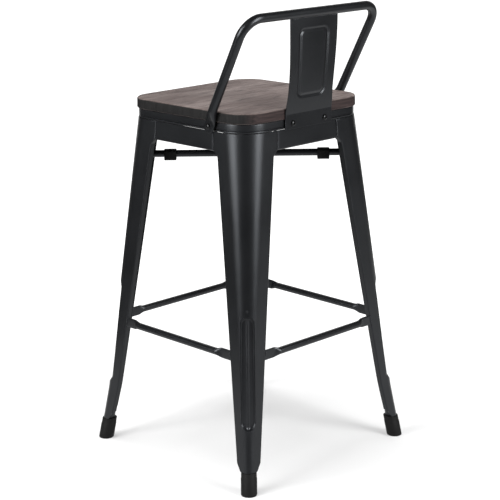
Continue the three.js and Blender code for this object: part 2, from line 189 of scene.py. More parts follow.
def loft(rings, closed=False):
    """Points and faces of rings joined in order, with flat ends, or joined end to end round a bore."""
    sides = len(rings[0])
    points = [point for ring in rings for point in ring]
    faces = []
    for ring in range(len(rings) if closed else len(rings) - 1):
        here = ring * sides
        there = (ring + 1) % len(rings) * sides
        for side in range(sides):
            beside = (side + 1) % sides
            faces.append((here + side, here + beside, there + beside, there + side))
    if not closed:
        last = (len(rings) - 1) * sides
        faces.append(tuple(reversed(range(sides))))
        faces.append(tuple(range(last, last + sides)))
    return points, faces


def bent_sheet(columns, rows, place):
    """A sheet with both its faces and its edges, where place(column, row, inner) gives each point."""
    wide = columns + 1
    layer = wide * (rows + 1)
    points = []
    for inner in (False, True):
        for row in range(rows + 1):
            points += [place(column, row, inner) for column in range(wide)]
    faces = []
    for row in range(rows):
        for column in range(columns):
            first = row * wide + column
            quad = (first, first + 1, first + 1 + wide, first + wide)
            faces.append(quad)
            faces.append(tuple(layer + corner for corner in reversed(quad)))
    rim = list(range(columns))
    rim += [row * wide + columns for row in range(rows)]
    rim += [rows * wide + column for column in range(columns, 0, -1)]
    rim += [row * wide for row in range(rows, 0, -1)]
    for here, there in zip(rim, rim[1:] + rim[:1]):
        faces.append((here, layer + here, layer + there, there))
    return points, faces


def joined(shapes):
    """Several shapes as one."""
    points, faces = [], []
    for more_points, more_faces in shapes:
        start = len(points)
        points += more_points
        faces += [tuple(start + corner for corner in face) for face in more_faces]
    return points, faces


def pressed(turn, flatness, thin, tall):
    """A point of a round section pressed flat, which gets squarer as it gets thinner."""
    power = mix(1, 0.5, flatness)
    return thin * signed_power(math.cos(turn), power), tall * signed_power(math.sin(turn), power)


def round_turns(sides=ROUND):
    """The angles of a round section's points."""
    return [side / sides * 4 * QUARTER for side in range(sides)]


def circle(radius, height, sides=ROUND):
    return [(radius * math.cos(turn), radius * math.sin(turn), height) for turn in round_turns(sides)]


def turned(profile):
    """A solid of revolution about +Z from its (radius, height) points."""
    return loft([circle(radius, height) for radius, height in profile])


def arc(centre_radius, centre_height, radius, start, end, steps):
    """Profile points on an arc, with its angles from straight out, in quarter turns."""
    turns = [turn * QUARTER for turn in spread(start, end, steps)]
    return [(centre_radius + radius * math.cos(t), centre_height + radius * math.sin(t)) for t in turns]


def hexagon(radius, height, per_side):
    """A hexagon's outline, with per_side points on each side."""
    corners = [Vector(corner) for corner in circle(radius, height, 6)]
    nexts = corners[1:] + corners[:1]
    return [tuple(a.lerp(b, step / per_side)) for a, b in zip(corners, nexts) for step in range(per_side)]


def rounded_square(half, corner, height, corner_steps=20, side_steps=20):
    """A square with round corners, counter-clockwise, from its +X+Y corner."""
    straight = half - corner
    points = []
    for quarter in range(4):
        turn = Matrix.Rotation(quarter * QUARTER, 3, "Z")
        for angle in spread(0, QUARTER, corner_steps):
            x, y = straight + corner * math.cos(angle), straight + corner * math.sin(angle)
            points.append(turn @ Vector((x, y, height)))
        for x in spread(straight, -straight, side_steps)[1:-1]:
            points.append(turn @ Vector((x, half, height)))
    return [tuple(point) for point in points]


def add(name, shape, finish, replaced=(), place=None, bevel=0.0):
    """Makes a piece from points and faces, in one finish, in place of the replaced CAD nodes."""
    points, faces = shape
    mesh = bpy.data.meshes.new(name)
    mesh.from_pydata(points, [], faces)
    work = bmesh.new()
    work.from_mesh(mesh)
    bmesh.ops.remove_doubles(work, verts=work.verts, dist=1e-6)
    bmesh.ops.recalc_face_normals(work, faces=work.faces)
    work.to_mesh(mesh)
    work.free()
    if place:
        mesh.transform(place)
    mesh.shade_smooth()
    mesh.set_sharp_from_angle(angle=CREASE_FROM)
    mesh.materials.append(finish.material)
    piece = bpy.data.objects.new(name, mesh)
    bpy.context.scene.collection.objects.link(piece)
    if bevel:
        edges = piece.modifiers.new("edges", "BEVEL")
        edges.width = bevel
        edges.segments = 3
        edges.limit_method = "ANGLE"
        edges.angle_limit = BEVEL_FROM
        edges.harden_normals = True
    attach(piece, "root")
    if replaced:
        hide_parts(*replaced)


def turn_about(angle):
    return Matrix.Rotation(angle, 4, "Z")


# ---- Materials ------------------------------------------------------------------------------------------


def node(tree, kind, inputs=None, **settings):
    """A new shader node. An input is a value, or the output that feeds it."""
    made = tree.nodes.new(kind)
    for key, value in settings.items():
        setattr(made, key, value)
    for key, value in (inputs or {}).items():
        if isinstance(value, bpy.types.NodeSocket):
            tree.links.new(value, made.inputs[key])
        else:
            made.inputs[key].default_value = value
    return made


def new_material(name, **values):
    """A material with one Principled shader, its values set on the shader's own sockets."""
    material = bpy.data.materials.new(name)
    material.use_nodes = True
    tree = material.node_tree
    tree.nodes.clear()
    shader = node(tree, "ShaderNodeBsdfPrincipled", values)
    node(tree, "ShaderNodeOutputMaterial", {"Surface": shader.outputs[0]})
    return material, tree, shader


def stretched(tree, scale):
    """The object's own coordinates in metres, stretched."""
    where = node(tree, "ShaderNodeTexCoord").outputs["Object"]
    return node(tree, "ShaderNodeMapping", {"Vector": where, "Scale": scale}).outputs[0]


def speckle(tree, scale, detail=2.0, roughness=0.5, distortion=0.0, vector=None):
    """Noise from 0 to 1, with its scale in cycles per metre, or for a stretched vector."""
    inputs = {"Scale": scale, "Detail": detail, "Roughness": roughness, "Distortion": distortion}
    inputs["Vector"] = vector or node(tree, "ShaderNodeTexCoord").outputs["Object"]
    return node(tree, "ShaderNodeTexNoise", inputs).outputs["Fac"]


def between(tree, value, low, high, start=0.0, end=1.0):
    """value, mapped from low..high to start..end and kept there."""
    inputs = {"Value": value, "From Min": low, "From Max": high, "To Min": start, "To Max": end}
    return node(tree, "ShaderNodeMapRange", inputs).outputs[0]


def blend_colours(tree, share, first, second):
    """The first colour at a share of 0 and the second at 1, where each may be a value or an output."""
    mixed = node(tree, "ShaderNodeMix", data_type="RGBA")
    colours = [socket for socket in mixed.inputs if socket.type == "RGBA"]
    for socket, value in zip((mixed.inputs["Factor"], *colours), (share, first, second)):
        if isinstance(value, bpy.types.NodeSocket):
            tree.links.new(value, socket)
        else:
            socket.default_value = value
    return next(output for output in mixed.outputs if output.type == "RGBA")


def bump(tree, height, strength, distance, below=None):
    """A normal bumped by a height, on top of the bump below it if there is one."""
    inputs = {"Height": height, "Strength": strength, "Distance": distance}
    if below:
        inputs["Normal"] = below
    return node(tree, "ShaderNodeBump", inputs).outputs[0]


def absolute(tree, value):
    return node(tree, "ShaderNodeMath", {0: value}, operation="ABSOLUTE").outputs[0]


def grey(value, blue=1.0):
    """A dark grey, cooler the more blue it's given."""
    return (value, value * (1 + 0.06 * blue), value * (1 + 0.2 * blue), 1.0)


def powder_coat():
    """Satin black powder coat: a faint orange peel, cloudy gloss, and a painted highlight that makes its
    sharp edges a little lighter.
    """
    material, tree, shader = new_material("black_powder_coat", Metallic=0.0, **{"Specular IOR Level": 0.40})
    shader.inputs["Specular Tint"].default_value = (0.90, 0.94, 1.0, 1.0)
    cloud = speckle(tree, 11, detail=3)
    # Painted highlight: the sharpest edges are painted a lighter grey, standing in for the light they catch.
    painted_edge_highlight = between(tree, node(tree, "ShaderNodeNewGeometry").outputs["Pointiness"], 0.52, 0.60)
    coat = blend_colours(tree, cloud, grey(0.0026), grey(0.0042))
    edged = blend_colours(tree, painted_edge_highlight, coat, grey(0.014))
    tree.links.new(edged, shader.inputs["Base Color"])
    grain = speckle(tree, 1900, detail=1)
    gloss = node(tree, "ShaderNodeMath", {0: between(tree, cloud, 0.3, 0.7, 0.29, 0.36)}, operation="ADD")
    tree.links.new(between(tree, grain, 0.2, 0.8, -0.02, 0.02), gloss.inputs[1])
    tree.links.new(gloss.outputs[0], shader.inputs["Roughness"])
    peel = bump(tree, speckle(tree, 520, detail=2), 0.16, 0.00012)
    tree.links.new(bump(tree, grain, 0.12, 0.00004, peel), shader.inputs["Normal"])
    return SimpleNamespace(material=material, slot="black_powder_coat")


def timber():
    """Dark stained rustic timber: grain along X, a pale top with a painted sheen, dark sides with painted
    shade, and darker end grain.
    """
    material, tree, shader = new_material("stained_timber", Metallic=0.0, **{"Specular IOR Level": 0.16})
    flow = speckle(tree, 1.0, detail=2, vector=stretched(tree, (5, 16, 16)))
    along_streaks = stretched(tree, (14, 300, 300))
    streaks = speckle(tree, 1.0, detail=7, roughness=0.62, distortion=0.5, vector=along_streaks)
    fibres = speckle(tree, 1.0, detail=4, roughness=0.7, vector=stretched(tree, (26, 480, 480)))
    patches = speckle(tree, 1.0, detail=2, distortion=0.8, vector=stretched(tree, (10, 52, 52)))
    ends = speckle(tree, 1.0, detail=6, roughness=0.7, vector=stretched(tree, (60, 190, 26)))
    # The top's colours are pale partly as a painted sheen; the sides' colours are far darker as painted
    # shade.
    light, brown, dark = (0.222, 0.184, 0.173, 1), (0.112, 0.087, 0.081, 1), (0.022, 0.016, 0.015, 1)
    shaded_side_pale, shaded_side_deep = (0.030, 0.019, 0.018, 1), (0.011, 0.007, 0.007, 1)
    end_light, end_dark = (0.010, 0.0096, 0.0096, 1), (0.004, 0.0038, 0.0038, 1)
    ground = blend_colours(tree, between(tree, flow, 0.34, 0.66), brown, light)
    grained = blend_colours(tree, between(tree, streaks, 0.46, 0.66), ground, brown)
    patched = blend_colours(tree, between(tree, patches, 0.54, 0.72, 0, 0.60), grained, dark)
    top = blend_colours(tree, between(tree, fibres, 0.50, 0.66, 0, 0.85), patched, dark)
    normal = node(tree, "ShaderNodeSeparateXYZ", {0: node(tree, "ShaderNodeNewGeometry").outputs["Normal"]})
    # Painted shade: every face that doesn't face up takes the much darker side and end colours.
    painted_shade_on_sides = between(tree, absolute(tree, normal.outputs["Z"]), 0.25, 0.85, 1, 0)
    endways = between(tree, absolute(tree, normal.outputs["X"]), 0.35, 0.75)
    side = blend_colours(tree, between(tree, streaks, 0.35, 0.68), shaded_side_pale, shaded_side_deep)
    end = blend_colours(tree, between(tree, ends, 0.35, 0.68), end_light, end_dark)
    edge = blend_colours(tree, endways, side, end)
    tree.links.new(blend_colours(tree, painted_shade_on_sides, top, edge), shader.inputs["Base Color"])
    tree.links.new(between(tree, streaks, 0.3, 0.7, 0.58, 0.74), shader.inputs["Roughness"])
    ridges = bump(tree, streaks, 0.5, 0.0008)
    tree.links.new(bump(tree, fibres, 0.45, 0.0003, ridges), shader.inputs["Normal"])
    return SimpleNamespace(material=material, slot="stained_timber")


def rubber():
    """Moulded black rubber: matt, slightly dusty, with a fine eroded texture."""
    material, tree, shader = new_material("black_rubber", Metallic=0.0, **{"Specular IOR Level": 0.14})
    dust = speckle(tree, 60, detail=4, roughness=0.6)
    tree.links.new(blend_colours(tree, dust, grey(0.003, 0), grey(0.006, 0)), shader.inputs["Base Color"])
    tree.links.new(between(tree, dust, 0.3, 0.7, 0.55, 0.72), shader.inputs["Roughness"])
    tree.links.new(bump(tree, speckle(tree, 2600, detail=2), 0.25, 0.00006), shader.inputs["Normal"])
    return SimpleNamespace(material=material, slot="black_rubber")


def fastener():
    """Black zinc on steel: a smooth dark metal with fine turning marks and a cloudy sheen."""
    material, tree, shader = new_material("black_fastener", Metallic=0.85)
    cloud = speckle(tree, 260, detail=3)
    metal = blend_colours(tree, cloud, grey(0.012, 0.3), grey(0.026, 0.3))
    tree.links.new(metal, shader.inputs["Base Color"])
    tree.links.new(between(tree, cloud, 0.3, 0.7, 0.18, 0.32), shader.inputs["Roughness"])
    tree.links.new(bump(tree, speckle(tree, 3200, detail=1), 0.1, 0.00003), shader.inputs["Normal"])
    return SimpleNamespace(material=material, slot="black_fastener")


STEEL = powder_coat()
TIMBER = timber()
RUBBER = rubber()
FASTENER = fastener()

# ---- Legs -----------------------------------------------------------------------------------------------

FOLD_STEPS = 6
FLANK_STEPS = 10
CORNER_STEPS = 48


def leg_reach(z):
    """How far out the leg's corner is, which turns out more near the floor."""
    below = LEG.flare_from - z
    flared = (below + math.hypot(below, LEG.flare_blend)) / 2
    return LEG.reach_at_top + LEG.splay * (LEG.top - z) + LEG.flare * flared


def leg_taper(z):
    """The width of one face, before the head widens it."""
    return LEG.width_at_bottom + LEG.widening * (z - LEG.bottom)


def leg_width(z):
    return mix(leg_taper(z), LEG.head_width, smooth(*LEG.shoulder, z))


def leg_corner(z):
    """The radius of the rounded corner, which is a growing share of the width."""
    share = (z - LEG.bottom) / (LEG.top - LEG.bottom)
    return mix(LEG.corner_share_at_bottom, LEG.corner_share_at_top, share) * leg_taper(z)


def leg_face(z):
    """How far out the leg's two faces are."""
    return (leg_reach(z) - leg_corner(z)) / math.sqrt(2) + leg_corner(z)


def leg_edge(z):
    """Where a face ends and its lip is folded inwards."""
    return leg_face(z) - leg_width(z)


def rib_depth(aside, z):
    """How far the corner is pressed in: a long slot with round ends, a ridge along it, and a dimple above."""
    beyond = max(RIB.low + RIB.half - z, z - (RIB.high - RIB.half), 0)
    outward = min(1, math.hypot(aside, beyond) / RIB.half)
    pressed_in = RIB.deep * (1 - outward**RIB.steep)
    ridge = RIB.ridge * math.exp(-((aside / RIB.ridge_half) ** 2))
    dimple = DIMPLE.deep * max(0, 1 - (math.hypot(aside, z - DIMPLE.height) / DIMPLE.radius) ** 2)
    return max(0, pressed_in - ridge, dimple)


def press_in(x, y, z):
    """A point of the section, pressed in along the corner's middle line as deep as the rib is there."""
    depth = rib_depth((x - y) / math.sqrt(2), z) / math.sqrt(2)
    return x - depth, y - depth


@lru_cache(maxsize=None)
def leg_section(z, inset):
    """The leg's section at a height, from the end of one lip to the end of the other."""
    face, edge, corner = leg_face(z), leg_edge(z), leg_corner(z)
    half = [(face - LEG.lip, edge + inset)]
    for turn in spread(0, QUARTER, FOLD_STEPS):
        radius = LEG.fold - inset
        half.append((face - LEG.fold + radius * math.sin(turn), edge + LEG.fold - radius * math.cos(turn)))
    for along in spread(edge + LEG.fold, face - corner, FLANK_STEPS)[1:-1]:
        half.append(press_in(face - inset, along, z))
    radius = corner - inset
    for turn in spread(0, QUARTER / 2, CORNER_STEPS // 2):
        x, y = face - corner + radius * math.cos(turn), face - corner + radius * math.sin(turn)
        half.append(press_in(x, y, z))
    return half + [(y, x) for x, y in reversed(half[:-1])]


def leg():
    """The whole channel, with its rows closer together where the shape changes and its bottom corners cut."""
    heights = stretches(
        LEG.bottom,
        (0.062, 18), (0.088, 6), (0.112, 12), (0.130, 24), (0.296, 16),
        (0.328, 36), (0.564, 12), (0.600, 36), (LEG.top, 6),
    )
    columns = len(leg_section(LEG.top, 0.0))

    def place(column, row, inner):
        from_end = min(column, columns - 1 - column)
        along = leg_section(LEG.bottom, 0.0)[from_end][1] - leg_edge(LEG.bottom)
        cut = LEG.chamfer * max(0, 1 - along / LEG.chamfer_wide) if from_end < columns // 4 else 0
        z = max(heights[row], LEG.bottom + cut)
        return (*leg_section(z, SHEET if inner else 0.0)[column], z)

    return bent_sheet(columns - 1, len(heights) - 1, place)


def build_legs():
    shape = leg()
    for corner, turn in CORNERS.items():
        name = "leg_" + corner
        add(name + "_surface", shape, STEEL, [name], turn_about(turn), bevel=0.0004)


# ---- Feet -----------------------------------------------------------------------------------------------


def leaning(shape):
    """The shape sheared to lean out along the leg."""
    points, faces = shape
    shift = [(FOOT.reach - FOOT.lean * z) / math.sqrt(2) for _, _, z in points]
    return [(x + s, y + s, z) for (x, y, z), s in zip(points, shift)], faces


def foot_cap():
    """A moulded cap with a hollow in its sole, a rounded edge, and a slightly narrower collar."""
    radius, edge, wall = FOOT.radius, FOOT.edge, FOOT.wall
    top = LEG.bottom - GAP
    sole = [(0.0, FOOT.hollow), (radius * 0.45, FOOT.hollow), (radius * 0.55, 0.0), (radius - edge, 0.0)]
    collar = radius - FOOT.step
    side = arc(radius - edge, edge, edge, -1, 0, 6)[1:]
    side += [(radius, top * 0.72), (collar, top * 0.74)]
    lip = [(collar, top - edge / 2), (collar - edge / 2, top), (radius - wall, top)]
    return leaning(turned([*sole, *side, *lip, (radius - wall, FOOT.floor), (0.0, FOOT.floor)]))


def foot_stub():
    radius, wall = STUB.radius, STUB.wall
    low = FOOT.floor + GAP
    outside = [circle(radius - wall, low), circle(radius, low), circle(radius, STUB.top)]
    return leaning(loft([*outside, circle(radius - wall, STUB.top)], closed=True))


def build_feet():
    cap, stub = foot_cap(), foot_stub()
    for corner, turn in CORNERS.items():
        add("foot_cap_" + corner + "_surface", cap, RUBBER, ["foot_cap_" + corner], turn_about(turn))
        stub_name = "foot_stub_" + corner
        add(stub_name + "_surface", stub, STEEL, [stub_name], turn_about(turn), bevel=0.0003)


# ---- Aprons ---------------------------------------------------------------------------------------------


def apron():
    bend_steps, web_steps, length_steps = 8, 10, 24
    low = APRON.bottom
    fold_face = leg_face(low + APRON.bend) - APRON.inset
    rows = 1 + bend_steps + web_steps

    def place(column, row, inner):
        thin = SHEET if inner else 0
        if row == 0:
            y = fold_face - APRON.bend - APRON.flange
            z = low + thin
        elif row <= bend_steps + 1:
            turn = (row - 1) / bend_steps * QUARTER
            y = fold_face - APRON.bend + (APRON.bend - thin) * math.sin(turn)
            z = low + APRON.bend - (APRON.bend - thin) * math.cos(turn)
        else:
            share = (row - 1 - bend_steps) / web_steps
            z = mix(low + APRON.bend, LEG.top, share)
            y = mix(fold_face, leg_face(LEG.top) - APRON.inset, share) - thin
        end = leg_edge(max(z, low + APRON.bend)) - GAP
        return (mix(-end, end, column / length_steps), y, z)

    return bent_sheet(length_steps, rows, place)


# ---- Footrest rungs -------------------------------------------------------------------------------------


def rung():
    from_end = stretches(0, (RUNG.blade, 6), (RUNG.blade + RUNG.taper, 14))
    rings = []
    for side in (-1, 1):
        for inboard in from_end if side < 0 else reversed(from_end):
            flatness = 1 - smooth(RUNG.blade, RUNG.blade + RUNG.taper, inboard)
            thin = mix(RUNG.radius, RUNG.blade_thin, flatness)
            tall = mix(RUNG.radius, RUNG.blade_tall, flatness)
            ring = []
            for turn in round_turns():
                out, up = pressed(turn, flatness, thin, tall)
                z = RUNG.height + up
                y = RUNG.offset - RUNG.blade_in * flatness + out
                ring.append((side * (leg_edge(z) - GAP - inboard), y, z))
            rings.append(ring)
    return loft(rings)


# ---- Welds ----------------------------------------------------------------------------------------------


def bead(start, end, weld):
    """A weld bead between two points: a low ridge of overlapping lumps with blunt ends."""
    start, end = Vector(start), Vector(end)
    heading = (end - start).normalized()
    across = heading.orthogonal().normalized()
    beside = heading.cross(across)
    steps = 8 * weld.lumps
    rings = []
    for step in range(steps + 1):
        share = step / steps
        ends = min(1, math.sqrt(max(0, 1 - (2 * share - 1) ** 6)) + 0.05)
        swell = weld.radius * ends * (0.8 + 0.2 * abs(math.sin(share * weld.lumps * 2 * QUARTER)))
        middle = start.lerp(end, share)
        ring = []
        for turn in round_turns()[::2]:
            spot = Vector((math.cos(turn), math.sin(turn), share * weld.lumps)) * 1.7
            ragged = swell * (1 + 0.18 * noise.noise(spot))
            ring.append(tuple(middle + across * ragged * math.cos(turn) + beside * ragged * math.sin(turn)))
        rings.append(ring)
    return loft(rings)


def side_welds():
    """The beads of one side: where an apron meets the leg heads, and where a rung's blades meet the lips."""
    blade_face = RUNG.offset - RUNG.blade_in + RUNG.blade_thin
    beads = []
    for side in (-1, 1):
        apron_ends = [
            (side * leg_edge(z), leg_face(z) - APRON.inset, z) for z in (APRON_WELD.low, APRON_WELD.high)
        ]
        beads.append(bead(*apron_ends, APRON_WELD))
        rung_ends = [
            (side * leg_edge(z), blade_face, z)
            for z in (RUNG.height - RUNG_WELD.half, RUNG.height + RUNG_WELD.half)
        ]
        beads.append(bead(*rung_ends, RUNG_WELD))
    return joined(beads)


def build_sides():
    apron_shape, rung_shape, weld_shape = apron(), rung(), side_welds()
    for side, turn in SIDES.items():
        place = turn_about(turn)
        add("apron_" + side + "_surface", apron_shape, STEEL, ["apron_" + side], place, bevel=0.0004)
        add("rung_" + side + "_surface", rung_shape, STEEL, ["rung_" + side], place)
        add("welds_" + side, weld_shape, STEEL, place=place)


# ---- Cross brace and its bumpers ------------------------------------------------------------------------


def brace(level):
    """A tube from leg to leg, pressed flat where the two cross. Level is 1 for the upper one, else -1."""
    from_middle = stretches(BRACE.flat, (BRACE.flat + BRACE.taper, 14))
    wall = leg_corner(BRACE.height) - SHEET
    rings = []
    for side in (-1, 1):
        stations = [None, *reversed(from_middle)] if side < 0 else [*from_middle, None]
        for inboard in stations:
            flatness = 0 if inboard is None else 1 - smooth(BRACE.flat, BRACE.flat + BRACE.taper, inboard)
            tall = mix(BRACE.radius, BRACE.flat_tall, flatness)
            wide = mix(BRACE.radius, BRACE.flat_wide, flatness)
            ring = []
            for turn in round_turns():
                up, aside = pressed(turn, flatness, tall, wide)
                z = BRACE.height + up + level * (BRACE.flat_tall + GAP / 2) * flatness
                bulge = wall - math.sqrt(wall * wall - aside * aside)
                end = leg_reach(z) - SHEET - 2 * GAP - bulge
                ring.append((side * (end if inboard is None else inboard), aside, z))
            rings.append(ring)
    return loft(rings)


def bumper():
    """A moulded block with rounded edges and a bore for the brace."""
    half, corner, edge = BUMPER.half, BUMPER.corner, 0.001
    middle = (BUMPER.up - BUMPER.down) / 2
    tall = (BUMPER.up + BUMPER.down) / 2

    def outline(inset, along):
        ring = []
        for turn in round_turns():
            across, up = math.cos(turn), math.sin(turn)
            reach = min(
                (half - inset) / max(abs(across), 1e-9),
                (tall - inset) / max(abs(up), 1e-9),
                (half + tall - corner - inset) / (abs(across) + abs(up)),
            )
            ring.append((along, across * reach, BRACE.height + middle + up * reach))
        return ring

    def bore(radius, along):
        return [(along, y, BRACE.height + z) for y, z, _ in circle(radius, 0)]

    low, high = BUMPER.at - BUMPER.length / 2, BUMPER.at + BUMPER.length / 2
    hole = BRACE.radius + GAP
    outside = [outline(edge, low), outline(edge / 3, low + edge / 3), outline(0, low + edge)]
    outside += [outline(0, high - edge), outline(edge / 3, high - edge / 3), outline(edge, high)]
    inside = [bore(hole + edge, high), bore(hole, high - edge)]
    inside += [bore(hole, low + edge), bore(hole + edge, low)]
    return loft([*outside, *inside], closed=True)


def build_brace():
    eighth = QUARTER / 2
    add("brace_upper_surface", brace(1), STEEL, ["brace_upper"], turn_about(-eighth), bevel=0.0005)
    add("brace_lower_surface", brace(-1), STEEL, ["brace_lower"], turn_about(eighth), bevel=0.0005)
    for corner, turn in CORNERS.items():
        name = "brace_bumper_" + corner
        add(name + "_surface", bumper(), RUBBER, [name], turn_about(turn + eighth))


# ---- Seat -----------------------------------------------------------------------------------------------


def pan():
    """The pan: a rounded upper edge, a wall, and a hem rolled round its lower edge."""
    bend, hem, proud = 0.0022, 0.0021, 0.0003
    wall_foot = PAN.low + 2 * hem
    outside = arc(-bend, PAN.high - bend, bend, 1, 0, 6)
    outside += [(0.0, wall_foot + 0.0006)]
    inner_face = -SHEET
    roll = arc(proud - hem, PAN.low + hem, hem, 0.75, -1, 10)
    roll += [(inner_face - hem, PAN.low + hem / 2), (inner_face - hem / 2, wall_foot - hem / 2)]
    inside = [(inner_face, wall_foot), (inner_face, PAN.high - SHEET - bend)]
    inside += arc(inner_face - bend, PAN.high - SHEET - bend, bend, 0, 1, 6)[1:]
    profile = [*outside, *roll, *inside]
    return loft([rounded_square(PAN.half + out, PAN.corner + out, z) for out, z in profile])


def board():
    """The board: worn, slightly uneven edges and a top that isn't quite flat."""
    edge, lower_edge = 0.0026, 0.0014
    wear, hollows = 0.0006, 0.0002

    def edged(inset, z):
        ring = []
        for x, y, height in rounded_square(BOARD.half - inset, BOARD.corner - inset, z, 28, 48):
            rub = wear * max(0, noise.noise(Vector((x * 38, y * 38, z * 90))))
            shrink = 1 - rub / BOARD.half
            ring.append((x * shrink, y * shrink, height))
        return ring

    rings = [edged(lower_edge, BOARD.low), edged(lower_edge * 0.3, BOARD.low + lower_edge * 0.3)]
    rings += [edged(0, BOARD.low + lower_edge), edged(0, mix(BOARD.low, BOARD.high, 0.5))]
    for turn in spread(0, QUARTER, 5):
        rings.append(edged(edge - edge * math.cos(turn), BOARD.high - edge + edge * math.sin(turn)))
    outline = rings[-1]
    for share in spread(0, 0.98, 24)[1:]:
        ring = []
        for x, y, z in outline:
            x, y = x * (1 - share), y * (1 - share)
            dip = hollows * (1 + noise.noise(Vector((x * 9, y * 34, 0.3))))
            ring.append((x, y, z - dip * smooth(0, 0.12, share)))
        rings.append(ring)
    return loft(rings)


def build_seat():
    add("seat_pan_surface", pan(), STEEL, ["seat_pan"])
    add("seat_board_surface", board(), TIMBER, ["seat_board"])


# ---- Backrest hoop --------------------------------------------------------------------------------------

hoop_lean = math.atan2(HOOP.top_y - HOOP.foot_y, HOOP.top_z - BOLT.height)
hoop_rise = math.hypot(HOOP.top_y - HOOP.foot_y, HOOP.top_z - BOLT.height)


def hoop_stations():
    """Half of the hoop: how far out and up the slope, the tube's heading, and how flat and wide it is."""
    stations = []
    for angle in spread(-1, 0, 10):
        share = math.sin(angle * QUARTER)
        up = share * HOOP.blade_wide
        wide = HOOP.blade_wide * max(0.06, math.sqrt(1 - share * share))
        stations.append((OUTSIDE_PAN + HOOP.blade_thin, up, QUARTER, 1, HOOP.blade_thin, wide))
    for step in range(1, 21):
        flat = 1 - smooth(0, 20, step)
        thin = mix(HOOP.radius, HOOP.blade_thin, flat)
        wide = mix(HOOP.radius, HOOP.blade_wide, flat)
        up = mix(HOOP.blade_end, HOOP.tube_from, step / 20)
        stations.append((OUTSIDE_PAN + thin, up, QUARTER, flat, thin, wide))
    for turn in spread(0, QUARTER, 28):
        out = HOOP.top_x - HOOP.bend + HOOP.bend * math.cos(turn)
        up = hoop_rise - HOOP.bend + HOOP.bend * math.sin(turn)
        stations.append((out, up, QUARTER + turn, 0, HOOP.radius, HOOP.radius))
    return stations


def hoop():
    """The hoop standing on its feet, before it is leaned back."""
    half = hoop_stations()
    rings = []
    for side in (1, -1):
        for out, up, heading, flat, thin, wide in half if side > 0 else reversed(half):
            ring = []
            for turn in round_turns():
                across, aside = pressed(turn, flat, thin, wide)
                x, z = out + across * math.sin(heading), up - across * math.cos(heading)
                ring.append((side * x, aside, z))
            rings.append(ring)
    return loft(rings)


# ---- Backrest splat -------------------------------------------------------------------------------------


def splat_half(z):
    """Half of the splat's width."""
    if z > SPLAT.waist:
        return mix(SPLAT.half_waist, SPLAT.half_top, smooth(SPLAT.waist, SPLAT.top, z))
    return mix(SPLAT.half_foot, SPLAT.half_waist, smooth(SPLAT.fold, SPLAT.waist, z))


def splat_back(z):
    """Where the back face is: upright at the foot, then leaning back to come upright again under the hoop."""
    foot = OUTSIDE_PAN + SPLAT.sheet
    share = max(0, (z - SPLAT.fold) / (SPLAT.top - SPLAT.fold))
    return mix(HOOP.top_y, foot, (1 - share) ** 2)


def groove_depth(x, z):
    """The depth of the groove that outlines a panel, which is wider at its top and has round corners."""
    half = mix(PANEL.half_low, PANEL.half_high, (z - PANEL.low) / (PANEL.high - PANEL.low))
    beyond_x = abs(x) - (half - PANEL.corner)
    middle, tall = (PANEL.low + PANEL.high) / 2, (PANEL.high - PANEL.low) / 2
    beyond_z = abs(z - middle) - (tall - PANEL.corner)
    inside = PANEL.corner - math.hypot(max(beyond_x, 0), max(beyond_z, 0)) - min(max(beyond_x, beyond_z), 0)
    return PANEL.deep * (1 - smooth(0, PANEL.groove, abs(inside - PANEL.groove)))


def splat():
    """The pressed plate, from its foot on the pan's rim to the hoop's bar."""
    columns = 100
    heights = stretches(SPLAT.low, (SPLAT.fold - 0.001, 6), (SPLAT.fold + 0.003, 6), (SPLAT.top, 140))

    def place(column, row, inner):
        z = heights[row]
        x = splat_half(z) * (2 * column / columns - 1)
        return (x, splat_back(z) - groove_depth(x, z) - (SPLAT.sheet if inner else 0), z)

    return bent_sheet(columns, len(heights) - 1, place)


def splat_welds():
    """Two short beads that join the splat's upper corners to the hoop's bar."""
    beads = []
    for side in (-1, 1):
        ends = [(side * x, HOOP.top_y, SPLAT.top) for x in (SPLAT_WELD.outer, SPLAT_WELD.inner)]
        beads.append(bead(*ends, SPLAT_WELD))
    return joined(beads)


def build_back():
    lean = Matrix.Translation((0, HOOP.foot_y, BOLT.height)) @ Matrix.Rotation(-hoop_lean, 4, "X")
    add("backrest_hoop_surface", hoop(), STEEL, ["backrest_hoop"], lean)
    add("backrest_splat_surface", splat(), STEEL, ["backrest_splat"], bevel=0.0005)
    add("welds_splat", splat_welds(), STEEL)


# ---- Fasteners ------------------------------------------------------------------------------------------


def button_screw(radius, head_radius, head_tall, seat, tip):
    """A button-head screw along +Z with a hex socket in its head. Its head is seated at seat."""
    up = 1 if seat > tip else -1
    per_side = 6
    sides = 6 * per_side
    profile = [(radius * 0.75, tip), (radius, tip + up * radius / 4), (radius, seat)]
    profile += [(head_radius * 0.94, seat), (head_radius, seat + up * head_tall * 0.14)]
    for turn in spread(0.1, 0.8, 8):
        dome = turn * QUARTER
        profile.append((head_radius * math.cos(dome), seat + up * head_tall * math.sin(dome)))
    rings = [circle(r, z, sides) for r, z in profile]
    top = seat + up * head_tall
    socket = head_radius * 0.42
    floor = top - up * head_tall * 0.66
    rings += [hexagon(socket * 1.12, top, per_side), hexagon(socket, top - up * 0.0002, per_side)]
    rings += [hexagon(socket, floor, per_side), circle(0.0002, top - up * head_tall * 0.8, sides)]
    return loft(rings)


def washer():
    low, high = PAN.half + GAP, PAN.half + GAP + WASHER.thick
    edge = WASHER.thick * 0.3
    bore = BOLT.radius + GAP
    outside = [(WASHER.radius - edge, low), (WASHER.radius, low + edge), (WASHER.radius, high - edge)]
    profile = [(bore, low), *outside, (WASHER.radius - edge, high), (bore, high)]
    return loft([circle(radius, z) for radius, z in profile], closed=True)


